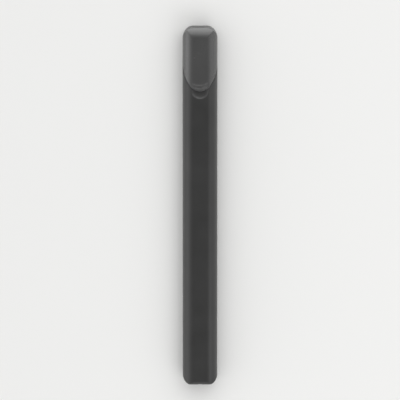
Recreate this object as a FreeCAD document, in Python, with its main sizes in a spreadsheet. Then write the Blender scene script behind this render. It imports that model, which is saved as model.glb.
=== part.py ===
import FreeCAD, Part
import math
import os

import Sketcher

# A slim pocket case for chopsticks, lying on its back: X is its width, +Y runs to the lid end,
# +Z is the front. The origin is the middle of the back. Lengths are millimetres.

doc = FreeCAD.newDocument("ChopstickCase")


def make_sheet(name, cells):
    sheet = doc.addObject("Spreadsheet::Sheet", name)
    for row, (alias, content) in enumerate(cells.items(), start=1):
        sheet.set(f"A{row}", alias)
        sheet.set(f"B{row}", str(content))
        sheet.setAlias(f"B{row}", alias)
    doc.recompute()
    return sheet


# Driving sizes
SIZES = {
    # Outer form
    "case_length": 250,
    "case_width": 24,
    "case_depth": 15,
    "lid_corner": 8,
    "base_corner": 6.6,
    "bevel_length": 7.2,
    "bevel_drop": 3,
    "end_rounding": 2.2,
    # Walls round the room for the chopsticks
    "end_wall": 2.5,
    "side_wall": 3,
    "face_wall": 2.5,
    # Lid and the rim under it
    "lid_length": 43.8,
    "tongue_length": 18.4,
    "tongue_tip_radius": 8,
    "lid_skin": 1.2,
    "lid_block": 8,
    "lid_gap": 0.25,
    "lip_height": 2.5,
    "ledge_width": 3,
    # Thumb scoop in the front wall and finger grooves on the lid
    "scoop_width": 11.8,
    "scoop_length": 5.2,
    "scoop_depth": 1.2,
    "grip_radius": 11,
    "grip_angle": 56,
    "grip_inset": 2.2,
    "grip_pitch": 2.1,
    "grip_depth": 0.55,
    "upper_grip_depth": 0.35,
    # Small notch in the front edge of the base
    "notch_width": 4,
    "notch_height": 1.6,
    "notch_depth": 0.8,
    # Hinge, in an end wall that rises above the rim
    "hinge_drop": 1.8,
    "step_setback": 3.75,
    "knuckle_radius": 1.25,
    "middle_knuckle": 6.4,
    "barrel_length": 13,
    "knuckle_gap": 0.15,
    "groove_angle": 98,
    "pin_radius": 0.5,
    "pin_length": 12.4,
    "pin_chamfer": 0.15,
    "pin_press_clearance": 0.01,
    "pin_running_clearance": 0.05,
    # How far every cut runs past the solid
    "overrun": 2,
}
make_sheet("Sizes", SIZES)


def tongue_places(name, growth):
    """The corners of the lid's plan outline, moved outwards by a growth."""
    return {
        f"{name}_side": f"=half_width + {growth}",
        f"{name}_turn_x": f"=(tongue_side_radius + {growth}) * tangent_across - side_centre",
        f"{name}_turn_y": f"=tongue_start - (tongue_side_radius + {growth}) * tangent_along",
    }


# Places worked out from the sizes, each the coordinate of a corner or a centre, or a radius
places = make_sheet("Places", {
    "half_length": "=Sizes.case_length / 2",
    "half_width": "=Sizes.case_width / 2",
    "front": "=Sizes.case_depth",
    "middle": "=Sizes.case_depth / 2",
    "past_end": "=half_length + Sizes.overrun",
    "frame_end": "=past_end + Sizes.overrun",
    "past_side": "=half_width + Sizes.overrun",
    "past_front": "=front + Sizes.overrun",
    "past_back": "=-Sizes.overrun",
    "lid_corner_x": "=half_width - Sizes.lid_corner",
    "lid_corner_y": "=half_length - Sizes.lid_corner",
    "base_corner_x": "=half_width - Sizes.base_corner",
    "base_corner_y": "=-(half_length - Sizes.base_corner)",
    "bevel_radius": "=(Sizes.bevel_length ^ 2 + Sizes.bevel_drop ^ 2) / (2 * Sizes.bevel_drop)",
    "bevel_start": "=half_length - Sizes.bevel_length",
    "bevel_edge": "=front - Sizes.bevel_drop",
    "bevel_centre": "=front - bevel_radius",
    "end_round_y": "=half_length - Sizes.end_rounding",
    "end_round_low": "=Sizes.end_rounding",
    "end_round_high": "=front - Sizes.end_rounding",
    "outer_flat": "=half_width - middle",
    "cavity_end": "=half_length - Sizes.end_wall",
    "cavity_low": "=Sizes.face_wall",
    "cavity_high": "=front - Sizes.face_wall",
    "cavity_flat": "=half_width - Sizes.side_wall - (middle - cavity_low)",
    "lid_inner_low": "=Sizes.lid_skin",
    "lid_inner_high": "=front - Sizes.lid_skin",
    "lap_low": "=Sizes.lid_skin + Sizes.lid_gap",
    "lap_high": "=front - Sizes.lid_skin - Sizes.lid_gap",
    "lid_inner_end": "=half_length - Sizes.lid_block",
    "lid_floor": "=middle + Sizes.lid_gap",
    "lip_top": "=middle + Sizes.lip_height",
    "tongue_tip": "=half_length - Sizes.lid_length",
    "tongue_start": "=tongue_tip + Sizes.tongue_length",
    "tip_centre": "=tongue_tip + Sizes.tongue_tip_radius",
    "tongue_side_radius": "=(Sizes.tongue_length ^ 2 + half_width ^ 2 - 2 * Sizes.tongue_length"
                          " * Sizes.tongue_tip_radius) / (2 * (half_width - Sizes.tongue_tip_radius))",
    "side_centre": "=tongue_side_radius - half_width",
    "tangent_reach": "=tongue_side_radius - Sizes.tongue_tip_radius",
    "tangent_across": "=side_centre / tangent_reach",
    "tangent_along": "=(tongue_start - tip_centre) / tangent_reach",
    "hinge_y": "=half_length - Sizes.knuckle_radius",
    "hinge_z": "=bevel_edge - Sizes.hinge_drop",
    "lid_hinge_floor": "=hinge_z + Sizes.lid_gap",
    "block_swing": "=sqrt((hinge_y - lid_inner_end) ^ 2 + (hinge_z - lid_floor) ^ 2)",
    "lap_end": "=hinge_y - block_swing - Sizes.lid_gap",
    "lid_step": "=half_length - Sizes.step_setback",
    "case_step": "=lid_step + Sizes.lid_gap",
    "groove_rise": "=(past_end - hinge_y) * tan(Sizes.groove_angle / 2 * 1deg)",
    "groove_high": "=hinge_z + groove_rise",
    "groove_low": "=hinge_z - groove_rise",
    "knuckle_round": "=Sizes.knuckle_radius",
    "knuckle_room": "=Sizes.knuckle_radius + Sizes.knuckle_gap",
    "press_bore": "=Sizes.pin_radius + Sizes.pin_press_clearance",
    "running_bore": "=Sizes.pin_radius + Sizes.pin_running_clearance",
    "pin_round": "=Sizes.pin_radius",
    "middle_knuckle_end": "=Sizes.middle_knuckle / 2",
    "outer_knuckle_start": "=middle_knuckle_end + Sizes.knuckle_gap",
    "barrel_end": "=Sizes.barrel_length / 2",
    **tongue_places("lid", "0"),
    **tongue_places("mouth", "Sizes.lid_gap"),
    **tongue_places("ledge", "(-Sizes.ledge_width)"),
})


def number(name):
    """The number behind a coordinate's name: 0 is an axis, a leading minus mirrors the place."""
    if name == 0:
        return 0.0
    sign = -1 if name.startswith("-") else 1
    return sign * float(places.get(name.lstrip("-")))


def formula(name):
    return f"-Places.{name[1:]}" if name.startswith("-") else f"Places.{name}"


def start_body(label):
    body = doc.addObject("PartDesign::Body", label)
    body.Label = label
    return body


def start_sketch(body, name, role, away):
    """A sketch on one of the body's own origin planes, moved along its normal by the formula away."""
    plane = next(item for item in body.Origin.OriginFeatures if item.Role == role)
    sketch = body.newObject("Sketcher::SketchObject", f"{body.Label}_{name}")
    sketch.AttachmentSupport = [(plane, "")]
    sketch.MapMode = "FlatFace"
    sketch.setExpression("AttachmentOffset.Base.z", away)
    return sketch


# How a sketch numbers an edge's points and its own axes; the level axis starts at the sketch's origin
FIRST_POINT, LAST_POINT, CENTRE_POINT = range(1, 4)
LEVEL_AXIS, UPRIGHT_AXIS = -1, -2


def pin_down(sketch, edge, point, axis, name):
    """Tie one coordinate of a sketch point to its named place."""
    if name == 0:
        zero_line = UPRIGHT_AXIS if axis == "X" else LEVEL_AXIS
        sketch.addConstraint(Sketcher.Constraint("PointOnObject", edge, point, zero_line))
        return
    distance = Sketcher.Constraint(f"Distance{axis}", LEVEL_AXIS, FIRST_POINT, edge, point, number(name))
    row = sketch.addConstraint(distance)
    sketch.setExpression(f"Constraints[{row}]", formula(name))


def add_edge(sketch, begin, corner):
    """Draw a straight edge, or an arc where the corner names a centre, and return its number."""
    first = FreeCAD.Vector(number(begin[0]), number(begin[1]), 0)
    last = FreeCAD.Vector(number(corner[0]), number(corner[1]), 0)
    if len(corner) == 2:
        return sketch.addGeometry(Part.LineSegment(first, last))
    centre = FreeCAD.Vector(number(corner[2]), number(corner[3]), 0)
    circle = Part.Circle(centre, FreeCAD.Vector(0, 0, 1), (first - centre).Length)
    first_angle = math.atan2(first.y - centre.y, first.x - centre.x)
    last_angle = math.atan2(last.y - centre.y, last.x - centre.x)
    edge = sketch.addGeometry(Part.ArcOfCircle(circle, first_angle, last_angle))
    # The centre keeps to the chord's middle line, so one of its coordinates is enough.
    chord = last - first
    if abs(chord.y) >= abs(chord.x):
        pin_down(sketch, edge, CENTRE_POINT, "X", corner[2])
    else:
        pin_down(sketch, edge, CENTRE_POINT, "Y", corner[3])
    return edge


def draw(sketch, *corners):
    """Close an outline, drawn counter-clockwise. A corner is two names, and an arc ends at a corner
    with two more, the names of its centre."""
    edges = []
    for before, corner in zip(corners[-1:] + corners[:-1], corners):
        edges.append(add_edge(sketch, before, corner))
    for edge, next_edge, corner in zip(edges, edges[1:] + edges[:1], corners):
        sketch.addConstraint(Sketcher.Constraint("Coincident", edge, LAST_POINT, next_edge, FIRST_POINT))
        pin_down(sketch, edge, LAST_POINT, "X", corner[0])
        pin_down(sketch, edge, LAST_POINT, "Y", corner[1])


def draw_stadium(sketch, flat, low, high):
    """An upright section with half-round sides, as wide as its flats and its depth together."""
    draw(sketch,
         (flat, low),
         (flat, high, flat, "middle"),
         (f"-{flat}", high),
         (f"-{flat}", low, f"-{flat}", "middle"))


def draw_circle(sketch, centre, radius):
    circle = Part.Circle(FreeCAD.Vector(number(centre[0]), number(centre[1]), 0),
                         FreeCAD.Vector(0, 0, 1), number(radius))
    edge = sketch.addGeometry(circle)
    pin_down(sketch, edge, CENTRE_POINT, "X", centre[0])
    pin_down(sketch, edge, CENTRE_POINT, "Y", centre[1])
    row = sketch.addConstraint(Sketcher.Constraint("Radius", edge, number(radius)))
    sketch.setExpression(f"Constraints[{row}]", formula(radius))


def extrude(body, kind, sketch, length):
    """Pad a sketch along its normal, or pocket it against its normal, and see that the solid changed."""
    before = body.Shape.Volume if body.Tip else 0
    feature = body.newObject(f"PartDesign::{kind}", f"{sketch.Name}_{kind.lower()}")
    feature.Profile = sketch
    feature.setExpression("Length", length)
    doc.recompute()
    grew = body.Shape.Volume > before
    if grew != (kind == "Pad") or body.Shape.Volume == before:
        raise RuntimeError(f"{feature.Name} went the wrong way")


def pad(body, sketch, length):
    extrude(body, "Pad", sketch, length)


def pocket(body, sketch, length):
    extrude(body, "Pocket", sketch, length)


ACROSS = "2 * Places.past_side"
THROUGH_DEPTH = "Places.past_front - Places.past_back"


def pad_outer_section(body):
    section = start_sketch(body, "section", "XZ_Plane", "-Places.half_length")
    draw_stadium(section, "outer_flat", 0, "front")
    pad(body, section, "Sizes.case_length")


def trim_profile(body):
    """Round both ends as seen from the side, with the lid's bevel at the front."""
    profile = start_sketch(body, "profile", "YZ_Plane", "Places.past_side")
    draw(profile,
         ("-past_end", "past_back"),
         ("past_end", "past_back"),
         ("past_end", "past_front"),
         ("-past_end", "past_front"))
    draw(profile,
         ("end_round_y", 0),
         ("half_length", "end_round_low", "end_round_y", "end_round_low"),
         ("half_length", "bevel_edge"),
         ("bevel_start", "front", "bevel_start", "bevel_centre"),
         ("-end_round_y", "front"),
         ("-half_length", "end_round_high", "-end_round_y", "end_round_high"),
         ("-half_length", "end_round_low"),
         ("-end_round_y", 0, "-end_round_y", "end_round_low"))
    pocket(body, profile, ACROSS)


def trim_plan(body):
    """Round both ends as seen from the front."""
    plan = start_sketch(body, "plan", "XY_Plane", "Places.past_front")
    draw(plan,
         ("-past_side", "-past_end"),
         ("past_side", "-past_end"),
         ("past_side", "past_end"),
         ("-past_side", "past_end"))
    draw(plan,
         ("base_corner_x", "-half_length"),
         ("half_width", "base_corner_y", "base_corner_x", "base_corner_y"),
         ("half_width", "lid_corner_y"),
         ("lid_corner_x", "half_length", "lid_corner_x", "lid_corner_y"),
         ("-lid_corner_x", "half_length"),
         ("-half_width", "lid_corner_y", "-lid_corner_x", "lid_corner_y"),
         ("-half_width", "base_corner_y"),
         ("-base_corner_x", "-half_length", "-base_corner_x", "base_corner_y"))
    pocket(body, plan, THROUGH_DEPTH)


def draw_tongue(plan, name, end):
    """The lid's plan outline, grown as the name's places say, cut off at an end."""
    side = f"{name}_side"
    turn_x = f"{name}_turn_x"
    turn_y = f"{name}_turn_y"
    draw(plan,
         (turn_x, turn_y, 0, "tip_centre"),
         (side, "tongue_start", "-side_centre", "tongue_start"),
         (side, end),
         (f"-{side}", end),
         (f"-{side}", "tongue_start"),
         (f"-{turn_x}", turn_y, "side_centre", "tongue_start"))


def cut_cavity(body):
    cavity = start_sketch(body, "cavity", "XZ_Plane", "Places.cavity_end")
    draw_stadium(cavity, "cavity_flat", "cavity_low", "cavity_high")
    pocket(body, cavity, "2 * Places.cavity_end")


def cut_hinge_groove(body):
    """A notch in the end wall, whose two faces meet when the lid is fully open."""
    groove = start_sketch(body, "hinge_groove", "YZ_Plane", "Places.past_side")
    draw(groove,
         ("hinge_y", "hinge_z"),
         ("past_end", "groove_low"),
         ("past_end", "groove_high"))
    pocket(body, groove, ACROSS)


def cut_ellipsoid(body, name, width, length, depth, along, height):
    """Hollow the middle of a wall: width is across, length and depth are its reach along Y and Z."""
    hollow = body.newObject("PartDesign::SubtractiveEllipsoid", f"{body.Label}_{name}")
    hollow.setExpression("Radius1", depth)
    hollow.setExpression("Radius2", f"{width} / 2")
    hollow.setExpression("Radius3", length)
    hollow.setExpression("Placement.Base.y", along)
    hollow.setExpression("Placement.Base.z", height)


def hinge_circle(body, name, radius, away):
    circle = start_sketch(body, name, "YZ_Plane", away)
    draw_circle(circle, ("hinge_y", "hinge_z"), radius)
    return circle


def make_case_body():
    body = start_body("case_body")
    pad_outer_section(body)
    trim_profile(body)
    trim_plan(body)

    # The mouth under the lid stops short of the hinge, where the end wall rises to the hinge's axis
    mouth = start_sketch(body, "mouth", "XY_Plane", "Places.past_front")
    draw_tongue(mouth, "mouth", "case_step")
    pocket(body, mouth, "Places.past_front - Places.middle")
    lid_end = start_sketch(body, "lid_end", "XY_Plane", "Places.past_front")
    draw_tongue(lid_end, "mouth", "past_end")
    pocket(body, lid_end, "Places.past_front - Places.hinge_z")

    # The lap that the lid closes over, hollowed for the chopsticks and opened inside its ledge
    lap = start_sketch(body, "lap", "XZ_Plane", "-Places.lap_end")
    draw_stadium(lap, "outer_flat", "lap_low", "lap_high")
    pad(body, lap, "Places.lap_end - Places.tongue_tip + Sizes.overrun")
    cut_cavity(body)
    ledge = start_sketch(body, "ledge", "XY_Plane", "Places.past_front")
    draw_tongue(ledge, "ledge", "case_step")
    pocket(body, ledge, "Places.past_front - Places.middle")
    lip = start_sketch(body, "lip", "YZ_Plane", "Places.past_side")
    draw(lip,
         ("tongue_start", "lip_top"),
         ("case_step", "lip_top"),
         ("case_step", "past_front"),
         ("tongue_start", "past_front"))
    pocket(body, lip, ACROSS)

    cut_ellipsoid(body, "scoop", "Sizes.scoop_width", "Sizes.scoop_length", "Sizes.scoop_depth",
                  "Places.tongue_tip", "Places.front")
    cut_ellipsoid(body, "notch", "Sizes.notch_width", "Sizes.notch_depth", "Sizes.notch_height",
                  "-Places.half_length", "Places.end_round_high")

    # The middle knuckle, with room beside it for the lid's two
    cut_hinge_groove(body)
    room = "Places.barrel_end + Sizes.knuckle_gap - Places.middle_knuckle_end"
    right_room = hinge_circle(body, "right_room", "knuckle_room", "Places.barrel_end + Sizes.knuckle_gap")
    pocket(body, right_room, room)
    left_room = hinge_circle(body, "left_room", "knuckle_room", "-Places.middle_knuckle_end")
    pocket(body, left_room, room)
    knuckle = hinge_circle(body, "knuckle", "knuckle_round", "-Places.middle_knuckle_end")
    pad(body, knuckle, "Sizes.middle_knuckle")
    pocket(body, hinge_circle(body, "bore", "press_bore", "Places.past_side"), ACROSS)
    return body


def make_flip_lid():
    body = start_body("flip_lid")
    pad_outer_section(body)
    trim_profile(body)

    # Only the front half inside the tongue's outline stays
    below = start_sketch(body, "below", "YZ_Plane", "Places.past_side")
    draw(below,
         ("-past_end", "past_back"),
         ("past_end", "past_back"),
         ("past_end", "lid_hinge_floor"),
         ("lid_step", "lid_hinge_floor"),
         ("lid_step", "lid_floor"),
         ("-past_end", "lid_floor"))
    pocket(body, below, ACROSS)
    around = start_sketch(body, "around", "XY_Plane", "Places.past_front")
    draw(around,
         ("-past_side", "-past_end"),
         ("past_side", "-past_end"),
         ("past_side", "frame_end"),
         ("-past_side", "frame_end"))
    draw_tongue(around, "lid", "past_end")
    pocket(body, around, THROUGH_DEPTH)

    # The hollow that laps over the rim, and the end of the chopsticks' room beyond it
    hollow = start_sketch(body, "hollow", "XZ_Plane", "Sizes.overrun - Places.tongue_tip")
    draw_stadium(hollow, "outer_flat", "lid_inner_low", "lid_inner_high")
    pocket(body, hollow, "Places.lid_inner_end - Places.tongue_tip + Sizes.overrun")
    cut_cavity(body)

    # Two smile-shaped grooves for the fingertip
    grips = (("lower_grip", "Sizes.grip_depth", "Sizes.grip_inset"),
             ("upper_grip", "Sizes.upper_grip_depth", "Sizes.grip_inset + Sizes.grip_pitch"))
    for name, depth, inset in grips:
        groove = body.newObject("PartDesign::SubtractiveTorus", f"flip_lid_{name}")
        groove.setExpression("Radius1", "Sizes.grip_radius")
        groove.setExpression("Radius2", depth)
        groove.setExpression("Angle3", "Sizes.grip_angle")
        groove.setExpression("Placement.Base.y", f"Places.tongue_tip + {inset} + Sizes.grip_radius")
        groove.setExpression("Placement.Base.z", "Places.front")
        groove.setExpression("Placement.Rotation.Angle", "-90 - Sizes.grip_angle / 2")

    # The two outer knuckles, with room between them for the middle one
    cut_hinge_groove(body)
    room = hinge_circle(body, "room", "knuckle_room", "Places.outer_knuckle_start")
    pocket(body, room, "2 * Places.outer_knuckle_start")
    for side, away in (("right", "Places.outer_knuckle_start"), ("left", "-Places.barrel_end")):
        knuckle = hinge_circle(body, f"{side}_knuckle", "knuckle_round", away)
        pad(body, knuckle, "Places.barrel_end - Places.outer_knuckle_start")
    pocket(body, hinge_circle(body, "bore", "running_bore", "Places.past_side"), ACROSS)
    trim_plan(body)
    return body


def make_hinge_pin():
    body = start_body("hinge_pin")
    pad(body, hinge_circle(body, "section", "pin_round", "-Sizes.pin_length / 2"), "Sizes.pin_length")
    wire = body.Tip
    ends = [f"Edge{row}" for row, edge in enumerate(wire.Shape.Edges, start=1) if edge.isClosed()]
    chamfer = body.newObject("PartDesign::Chamfer", "hinge_pin_ends")
    chamfer.Base = (wire, ends)
    chamfer.setExpression("Size", "Sizes.pin_chamfer")
    return body


pieces = [make_case_body(), make_flip_lid(), make_hinge_pin()]
doc.recompute()

for item in doc.Objects:
    if "Invalid" in item.State or "Error" in item.State:
        raise RuntimeError(f"{item.Name} failed")
for piece in pieces:
    if piece.Shape.isNull() or not piece.Shape.isValid() or len(piece.Shape.Solids) != 1:
        raise RuntimeError(f"{piece.Label} is not one sound solid")

os.makedirs("parts", exist_ok=True)
for piece in pieces:
    piece.Shape.exportStep(f"parts/{piece.Label}.step")
    box = piece.Shape.BoundBox
    print(piece.Label, round(piece.Shape.Volume, 1), "mm3,", box)
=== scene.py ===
import math

import bpy
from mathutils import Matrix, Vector


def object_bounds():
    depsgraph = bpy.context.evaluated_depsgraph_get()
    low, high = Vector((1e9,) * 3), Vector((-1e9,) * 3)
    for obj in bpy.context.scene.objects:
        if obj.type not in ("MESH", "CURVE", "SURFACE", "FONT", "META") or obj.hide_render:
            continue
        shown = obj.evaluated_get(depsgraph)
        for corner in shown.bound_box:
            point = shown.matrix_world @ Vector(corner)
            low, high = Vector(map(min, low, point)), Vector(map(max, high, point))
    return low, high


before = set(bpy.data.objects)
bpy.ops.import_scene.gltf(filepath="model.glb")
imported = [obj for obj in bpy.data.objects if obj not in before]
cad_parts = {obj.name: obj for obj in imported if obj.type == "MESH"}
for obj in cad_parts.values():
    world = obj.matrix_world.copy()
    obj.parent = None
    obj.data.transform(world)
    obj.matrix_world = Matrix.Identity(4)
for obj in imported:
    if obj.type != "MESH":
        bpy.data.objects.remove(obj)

# A slim chopstick case lying on its back on a pale table, seen from above and a little from its lid end.
# Lengths are metres in the part's own frame: X across, +Y to the lid end, +Z out of the front.

MM = 0.001
cad_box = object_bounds()

# Plastic and steel: noise scales are per metre, and noise is spread from its usual low to its usual high
NOISE_LOW = 0.3
NOISE_HIGH = 0.7
CLOUD_SCALE = 60
CLOUD_DETAIL = 4
SMEAR_SCALE = 170
SMEAR_DETAIL = 3
SMEAR_SPREAD = 0.02
GRAIN_SCALE = 2600
GRAIN_DETAIL = 3
GRAIN_ROUGHNESS = 0.65
GRAIN_STRENGTH = 0.2
GRAIN_HEIGHT = 0.03 * MM
EDGE_SAMPLES = 8
CASE_EDGE = 0.6 * MM
LID_EDGE = 0.4 * MM
WIRE_SCALE = 6000
WIRE_DETAIL = 4
WIRE_STRETCH = (0.05, 1, 1)
WIRE_DARK = (0.38, 0.38, 0.37)
WIRE_LIGHT = (0.62, 0.62, 0.6)
WIRE_SMOOTH = 0.22
WIRE_ROUGH = 0.4

# Table: it lies a hair below the case's back, so that the two faces don't share a plane
TABLE_HALF = 2.0
TABLE_DROP = 0.02 * MM
TABLE_COLOUR = (0.83, 0.83, 0.82, 1)
TABLE_ROUGHNESS = 0.9
TABLE_SPECULAR = 0.1

# Lamps and room light: directions are parts of a unit vector, and levels are strengths of the room
KEY_PLACE = (0.9, 0.9, 1.1)
FILL_PLACE = (0.9, -1.1, 1.0)
LAMP_AIM = (0, 0, 0)
LAMP_SIDE = 1.4
KEY_WATTS = 5
FILL_WATTS = 6
WALL_TOP = 0.5
OVERHEAD = 1.0
WALL_LEVEL = 1.22
OVERHEAD_LEVEL = 0.30
LEFT_LEVEL = 1.17
RIGHT_LEVEL = 0.67
WINDOW_CORE = 0.2
WINDOW_EDGE = 0.5
WINDOW_RISE = 0.45
ROOM_SHARE = 0.93
WINDOW_SHARE = 2.1

# Camera: the box of the case runs between these rows of a picture of 400 pixels
FRAME_PIXELS = 400
TOP_ROW = 26.0
BOTTOM_ROW = 386.0
TILT = math.radians(10)
DISTANCE = 3.0
SENSOR = 36.0
CLIP_END = 20


# Helpers for node materials

def new_material(name):
    material = bpy.data.materials.new(name)
    material.use_nodes = True
    tree = material.node_tree
    return material, tree, tree.nodes["Principled BSDF"]


def add_node(tree, kind, **settings):
    node = tree.nodes.new(kind)
    for key, value in settings.items():
        setattr(node, key, value)
    return node


def add_noise(tree, place, scale, detail, roughness=0.5):
    noise = add_node(tree, "ShaderNodeTexNoise")
    noise.inputs["Scale"].default_value = scale
    noise.inputs["Detail"].default_value = detail
    noise.inputs["Roughness"].default_value = roughness
    tree.links.new(place, noise.inputs["Vector"])
    return noise.outputs["Fac"]


def add_range(tree, value, low, high, new_low, new_high):
    spread = add_node(tree, "ShaderNodeMapRange")
    spread.inputs["From Min"].default_value = low
    spread.inputs["From Max"].default_value = high
    spread.inputs["To Min"].default_value = new_low
    spread.inputs["To Max"].default_value = new_high
    tree.links.new(value, spread.inputs["Value"])
    return spread.outputs["Result"]


def add_product(tree, first, second):
    product = add_node(tree, "ShaderNodeMath", operation="MULTIPLY")
    tree.links.new(first, product.inputs[0])
    tree.links.new(second, product.inputs[1])
    return product.outputs["Value"]


def add_mix(tree, share, first, second):
    mix = add_node(tree, "ShaderNodeMix", data_type="RGBA")
    mix.inputs["A"].default_value = (*first, 1)
    mix.inputs["B"].default_value = (*second, 1)
    tree.links.new(share, mix.inputs["Factor"])
    return mix.outputs["Result"]


def moulded_plastic(name, dark, light, roughness, specular, refraction, edge_radius):
    """Satin moulded plastic: faint clouds, fine grain, uneven gloss and softened edges."""
    material, tree, shader = new_material(name)
    place = add_node(tree, "ShaderNodeTexCoord").outputs["Object"]
    clouds = add_noise(tree, place, CLOUD_SCALE, CLOUD_DETAIL)
    shade = add_range(tree, clouds, NOISE_LOW, NOISE_HIGH, 0, 1)
    tree.links.new(add_mix(tree, shade, dark, light), shader.inputs["Base Color"])
    smears = add_noise(tree, place, SMEAR_SCALE, SMEAR_DETAIL)
    smooth = roughness - SMEAR_SPREAD
    rough = roughness + SMEAR_SPREAD
    gloss = add_range(tree, smears, NOISE_LOW, NOISE_HIGH, smooth, rough)
    tree.links.new(gloss, shader.inputs["Roughness"])
    grain = add_noise(tree, place, GRAIN_SCALE, GRAIN_DETAIL, GRAIN_ROUGHNESS)
    soft_edge = add_node(tree, "ShaderNodeBevel", samples=EDGE_SAMPLES)
    soft_edge.inputs["Radius"].default_value = edge_radius
    bump = add_node(tree, "ShaderNodeBump")
    tree.links.new(soft_edge.outputs["Normal"], bump.inputs["Normal"])
    bump.inputs["Strength"].default_value = GRAIN_STRENGTH
    bump.inputs["Distance"].default_value = GRAIN_HEIGHT
    tree.links.new(grain, bump.inputs["Height"])
    tree.links.new(bump.outputs["Normal"], shader.inputs["Normal"])
    shader.inputs["Specular IOR Level"].default_value = specular
    shader.inputs["IOR"].default_value = refraction
    return material


def drawn_steel(name):
    """Drawn steel wire, with fine lines along its length."""
    material, tree, shader = new_material(name)
    place = add_node(tree, "ShaderNodeTexCoord").outputs["Object"]
    stretch = add_node(tree, "ShaderNodeMapping")
    stretch.inputs["Scale"].default_value = WIRE_STRETCH
    tree.links.new(place, stretch.inputs["Vector"])
    lines = add_noise(tree, stretch.outputs["Vector"], WIRE_SCALE, WIRE_DETAIL)
    tree.links.new(add_mix(tree, lines, WIRE_DARK, WIRE_LIGHT), shader.inputs["Base Color"])
    gloss = add_range(tree, lines, NOISE_LOW, NOISE_HIGH, WIRE_SMOOTH, WIRE_ROUGH)
    tree.links.new(gloss, shader.inputs["Roughness"])
    shader.inputs["Metallic"].default_value = 1
    return material


def dress(node, material):
    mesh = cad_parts[node].data
    mesh.materials.clear()
    mesh.materials.append(material)


case_plastic = moulded_plastic("case_plastic",
                               dark=(0.0217, 0.0217, 0.0214),
                               light=(0.0277, 0.0277, 0.0273),
                               roughness=0.31,
                               specular=0.6,
                               refraction=1.5,
                               edge_radius=CASE_EDGE)
lid_plastic = moulded_plastic("lid_plastic",
                              dark=(0.0325, 0.0325, 0.0321),
                              light=(0.0405, 0.0405, 0.0401),
                              roughness=0.26,
                              specular=1.0,
                              refraction=1.6,
                              edge_radius=LID_EDGE)
dress("case_body", case_plastic)
dress("flip_lid", lid_plastic)
dress("hinge_pin", drawn_steel("pin_steel"))


# Table

def make_table():
    half = TABLE_HALF
    corners = [(-half, -half, 0), (half, -half, 0), (half, half, 0), (-half, half, 0)]
    mesh = bpy.data.meshes.new("table")
    mesh.from_pydata(corners, [], [(0, 1, 2, 3)])
    table = bpy.data.objects.new("table", mesh)
    table.location.z = -TABLE_DROP
    bpy.context.collection.objects.link(table)
    material, _, shader = new_material("table_white")
    shader.inputs["Base Color"].default_value = TABLE_COLOUR
    shader.inputs["Roughness"].default_value = TABLE_ROUGHNESS
    shader.inputs["Specular IOR Level"].default_value = TABLE_SPECULAR
    mesh.materials.append(material)


make_table()


# Studio lights and camera

def add_softbox(name, place, aim, side, watts):
    lamp = bpy.data.lights.new(name, "AREA")
    lamp.shape = "SQUARE"
    lamp.size = side
    lamp.energy = watts
    box = bpy.data.objects.new(name, lamp)
    box.location = place
    box.rotation_euler = (Vector(aim) - Vector(place)).to_track_quat("-Z", "Y").to_euler()
    bpy.context.collection.objects.link(box)


add_softbox("softbox_key", KEY_PLACE, LAMP_AIM, LAMP_SIDE, KEY_WATTS)
add_softbox("softbox_fill", FILL_PLACE, LAMP_AIM, LAMP_SIDE, FILL_WATTS)


def make_studio():
    """A pale room: bright walls, dim overhead and to the right, with a window past the lid's end."""
    world = bpy.data.worlds.new("studio")
    world.use_nodes = True
    tree = world.node_tree
    direction = add_node(tree, "ShaderNodeTexCoord").outputs["Generated"]
    parts = add_node(tree, "ShaderNodeSeparateXYZ")
    tree.links.new(direction, parts.inputs["Vector"])
    height = add_range(tree, parts.outputs["Z"], WALL_TOP, OVERHEAD, WALL_LEVEL, OVERHEAD_LEVEL)
    side = add_range(tree, parts.outputs["X"], -1, 1, LEFT_LEVEL, RIGHT_LEVEL)
    across = add_node(tree, "ShaderNodeMath", operation="ABSOLUTE")
    tree.links.new(parts.outputs["X"], across.inputs[0])
    in_line = add_range(tree, across.outputs["Value"], WINDOW_CORE, WINDOW_EDGE, 1, 0)
    past_end = add_range(tree, parts.outputs["Y"], 0, WINDOW_RISE, 0, 1)
    in_window = add_product(tree, in_line, past_end)
    window = add_range(tree, in_window, 0, 1, ROOM_SHARE, WINDOW_SHARE)
    level = add_product(tree, add_product(tree, height, side), window)
    tree.links.new(level, tree.nodes["Background"].inputs["Strength"])
    tree.nodes["Background"].inputs["Color"].default_value = (1, 1, 1, 1)
    bpy.context.scene.world = world


make_studio()
bpy.context.scene.view_settings.view_transform = "Standard"


def add_camera():
    low, high = (Vector(corner) for corner in cad_box)
    length = high.y - low.y
    depth = high.z - low.z
    seen_length = length * math.cos(TILT) + depth * math.sin(TILT)
    pixel = seen_length / (BOTTOM_ROW - TOP_ROW)
    centre = (low + high) / 2
    toward = Vector((0, math.sin(TILT), math.cos(TILT)))
    upward = Vector((0, math.cos(TILT), -math.sin(TILT)))
    rise = (TOP_ROW + BOTTOM_ROW) / 2 - FRAME_PIXELS / 2
    camera = bpy.data.objects.new("camera", bpy.data.cameras.new("camera"))
    camera.data.sensor_width = SENSOR
    camera.data.lens = SENSOR * DISTANCE / (FRAME_PIXELS * pixel)
    camera.data.clip_end = CLIP_END
    camera.location = centre + toward * DISTANCE + upward * rise * pixel
    camera.rotation_euler = (-TILT, 0, 0)
    bpy.context.collection.objects.link(camera)
    bpy.context.scene.camera = camera


add_camera()
